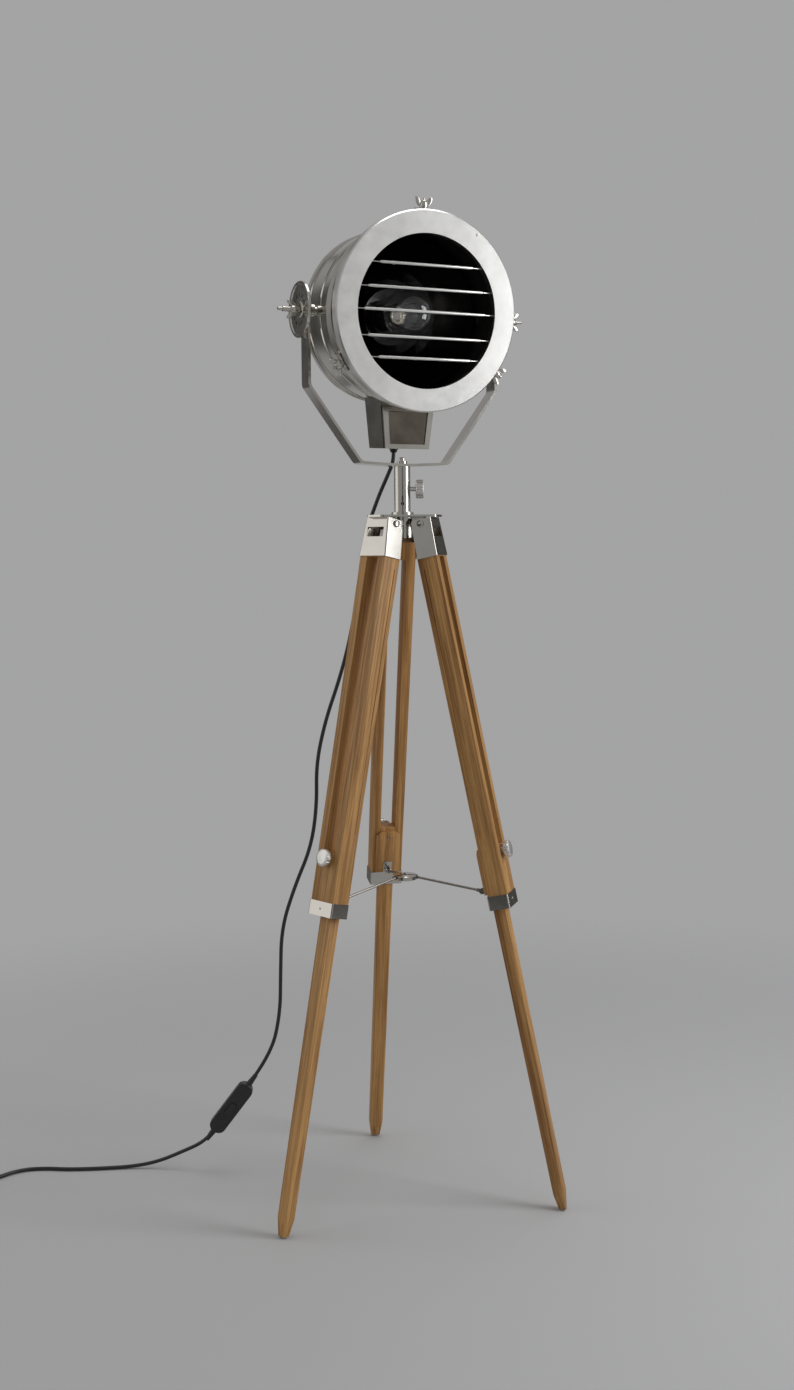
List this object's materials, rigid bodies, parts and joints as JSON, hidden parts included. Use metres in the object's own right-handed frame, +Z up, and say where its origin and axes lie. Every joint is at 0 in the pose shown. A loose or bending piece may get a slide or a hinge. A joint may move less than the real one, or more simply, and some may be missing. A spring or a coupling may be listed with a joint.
{
  "type": "tripod spotlight floor lamp",
  "caption": "Searchlight-style floor lamp: tilting drum head with louvres in a bent-strip yoke, on a folding wooden tripod with sliding lower legs",
  "frame": {"origin": "middle of the lamp's own box (without its cord) on the floor, z=0 under the feet", "axes": "+Z up, -Y towards the viewer of the picture, +X to the viewer's right; the head faces forward and to the right"},
  "size_m": [1.0363, 0.4392, 1.5589],
  "materials": {
    "nickel": "polished nickel",
    "satin_nickel": "satin nickel",
    "ring_face": "bright satin",
    "oak": "oiled oak",
    "inner_black": "matt black inside",
    "reflector": "spun and polished",
    "bulb_glass": "clear",
    "pane": "mirror",
    "black_plastic": "satin black",
    "cord": "black cord"
  },
  "bodies": {
    "stand": {"crown": "nickel", "hinge_pins": "nickel", "mast_tube": "nickel", "cord_run": "cord", "cord_coil": "cord", "switch_body": "black_plastic", "plug": "black_plastic"},
    "left_upper_leg_body": {"left_leg_cap": "nickel", "left_upper_leg": "oak", "left_guide_plate": "oak", "left_leg_strap": "satin_nickel", "left_rod_bracket": "nickel"},
    "left_lower_leg_body": {"left_lower_leg": "oak", "left_foot_glide": "nickel"},
    "left_knob_body": {"left_leg_knob": "nickel"},
    "left_rod_body": {"left_spreader_rod": "nickel"},
    "right_upper_leg_body": {"right_leg_cap": "nickel", "right_upper_leg": "oak", "right_guide_plate": "oak", "right_leg_strap": "satin_nickel", "right_rod_bracket": "nickel"},
    "right_lower_leg_body": {"right_lower_leg": "oak", "right_foot_glide": "nickel"},
    "right_knob_body": {"right_leg_knob": "nickel"},
    "right_rod_body": {"right_spreader_rod": "nickel"},
    "back_upper_leg_body": {"back_leg_cap": "nickel", "back_upper_leg": "oak", "back_guide_plate": "oak", "back_leg_strap": "satin_nickel", "back_rod_bracket": "nickel"},
    "back_lower_leg_body": {"back_lower_leg": "oak", "back_foot_glide": "nickel"},
    "back_knob_body": {"back_leg_knob": "nickel"},
    "back_rod_body": {"back_spreader_rod": "nickel"},
    "hub_body": {"spreader_hub": "nickel"},
    "mast_knob_body": {"mast_knob": "nickel"},
    "yoke_body": {"yoke": "nickel", "yoke_stem": "nickel", "cord_mast_stretch": "cord"},
    "head": {"drum": "nickel", "rear_cap": "nickel", "front_ring": "ring_face", "louvre_blades": "satin_nickel", "reflector": "reflector", "lampholder": "inner_black", "bulb": "bulb_glass", "clamp_bolts": "nickel", "trunnion_studs": "nickel", "angle_dial": "nickel", "terminal_box": "nickel", "window_frame": "nickel", "window_pane": "pane", "cord_gland": "black_plastic", "cord_head_stretch": "cord"},
    "top_clamp_nut_body": {"top_clamp_nut": "nickel"},
    "left_clamp_nut_body": {"left_clamp_nut": "nickel"},
    "right_clamp_nut_body": {"right_clamp_nut": "nickel"},
    "left_wing_nut_body": {"left_wing_nut": "nickel"},
    "right_wing_nut_body": {"right_wing_nut": "nickel"},
    "rocker_body": {"switch_rocker": "black_plastic"}
  },
  "joints": [
    {"name": "left_leg_fold", "type": "hinge", "parent": "stand", "child": "left_upper_leg_body", "pos_m": [-0.05382, -0.06108, 1.075], "axis": [0.6787, -0.7344, 0], "range_deg": [0, 9.9]},
    {"name": "right_leg_fold", "type": "hinge", "parent": "stand", "child": "right_upper_leg_body", "pos_m": [0.00802, -0.0471, 1.075], "axis": [0.2967, 0.955, 0], "range_deg": [0, 9.9]},
    {"name": "back_leg_fold", "type": "hinge", "parent": "stand", "child": "back_upper_leg_body", "pos_m": [-0.03501, -0.00054, 1.075], "axis": [-0.9754, -0.2205, 0], "range_deg": [0, 9.9]},
    {"name": "left_leg_slide", "type": "slide", "parent": "left_upper_leg_body", "child": "left_lower_leg_body", "axis": [0.1507, 0.1393, 0.9787], "range_m": [0, 0.43]},
    {"name": "left_leg_knob_turn", "type": "hinge", "parent": "left_upper_leg_body", "child": "left_knob_body", "pos_m": [-0.14348, -0.14394, 0.56827], "axis": [-0.7188, -0.6642, 0.2052], "range_deg": [-360, 360]},
    {"name": "right_leg_slide", "type": "slide", "parent": "right_upper_leg_body", "child": "right_lower_leg_body", "axis": [-0.196, 0.0609, 0.9787], "range_m": [0, 0.43]},
    {"name": "right_leg_knob_turn", "type": "hinge", "parent": "right_upper_leg_body", "child": "right_knob_body", "pos_m": [0.1246, -0.08332, 0.56827], "axis": [0.9346, -0.2904, 0.2052], "range_deg": [-360, 360]},
    {"name": "back_leg_slide", "type": "slide", "parent": "back_upper_leg_body", "child": "back_lower_leg_body", "axis": [0.0453, -0.2002, 0.9787], "range_m": [0, 0.43]},
    {"name": "back_leg_knob_turn", "type": "hinge", "parent": "back_upper_leg_body", "child": "back_knob_body", "pos_m": [-0.06193, 0.11854, 0.56827], "axis": [-0.2158, 0.9546, 0.2052], "range_deg": [-360, 360]},
    {"name": "left_rod_pivot", "type": "hinge", "parent": "left_upper_leg_body", "child": "left_rod_body", "pos_m": [-0.12014, -0.12237, 0.50102], "axis": [0.6787, -0.7344, 0], "range_deg": [0, 72.28]},
    {"name": "right_rod_pivot", "type": "hinge", "parent": "right_upper_leg_body", "child": "right_rod_body", "pos_m": [0.09426, -0.0739, 0.50102], "axis": [0.2967, 0.955, 0], "range_deg": [0, 72.28]},
    {"name": "back_rod_pivot", "type": "hinge", "parent": "back_upper_leg_body", "child": "back_rod_body", "pos_m": [-0.05492, 0.08755, 0.50102], "axis": [-0.9754, -0.2205, 0], "range_deg": [0, 72.28]},
    {"name": "hub_lift", "type": "slide", "parent": "stand", "child": "hub_body", "axis": [0, 0, 1], "range_m": [0, 0.077]},
    {"name": "mast_knob_turn", "type": "hinge", "parent": "stand", "child": "mast_knob_body", "pos_m": [-0.01423, -0.03624, 1.1293], "axis": [1, 0, 0], "range_deg": [-360, 360]},
    {"name": "head_pan", "type": "hinge", "parent": "stand", "child": "yoke_body", "pos_m": [-0.02694, -0.03624, 1.15], "axis": [0, 0, 1], "range_deg": [-170, 170], "deforming": ["cord_mast_stretch"]},
    {"name": "head_tilt", "type": "hinge", "parent": "yoke_body", "child": "head", "pos_m": [-0.02694, -0.03624, 1.395], "axis": [0.9063, 0.4226, 0], "range_deg": [-90, 24], "deforming": ["cord_head_stretch"]},
    {"name": "top_clamp_nut_turn", "type": "hinge", "parent": "head", "child": "top_clamp_nut_body", "pos_m": [0.00784, -0.11082, 1.53961], "axis": [0.0295, -0.0632, 0.9976], "range_deg": [-360, 360]},
    {"name": "left_clamp_nut_turn", "type": "hinge", "parent": "head", "child": "left_clamp_nut_body", "pos_m": [-0.11421, -0.15007, 1.31068], "axis": [-0.7842, -0.3249, -0.5286], "range_deg": [-360, 360]},
    {"name": "right_clamp_nut_turn", "type": "hinge", "parent": "head", "child": "right_clamp_nut_body", "pos_m": [0.11503, -0.04301, 1.30848], "axis": [0.744, 0.3889, -0.5433], "range_deg": [-360, 360]},
    {"name": "left_wing_nut_turn", "type": "hinge", "parent": "head", "child": "left_wing_nut_body", "pos_m": [-0.19007, -0.11231, 1.395], "axis": [-0.9063, -0.4226, 0], "range_deg": [-360, 360]},
    {"name": "right_wing_nut_turn", "type": "hinge", "parent": "head", "child": "right_wing_nut_body", "pos_m": [0.1362, 0.03983, 1.395], "axis": [0.9063, 0.4226, 0], "range_deg": [-360, 360]},
    {"name": "switch_rocker_tip", "type": "hinge", "parent": "stand", "child": "rocker_body", "pos_m": [-0.3204, 0.04976, 0.10844], "axis": [0.7978, 0, -0.6029], "range_deg": [0, 8]}
  ],
  "couplings": [
    {"joint": "right_leg_fold", "follows": "left_leg_fold", "ratio": 1},
    {"joint": "back_leg_fold", "follows": "left_leg_fold", "ratio": 1},
    {"joint": "left_rod_pivot", "follows": "left_leg_fold", "ratio": 7.2},
    {"joint": "right_rod_pivot", "follows": "left_leg_fold", "ratio": 7.2},
    {"joint": "back_rod_pivot", "follows": "left_leg_fold", "ratio": 7.2},
    {"joint": "hub_lift", "follows": "left_leg_fold", "m_per_rad": 0.43406}
  ]
}
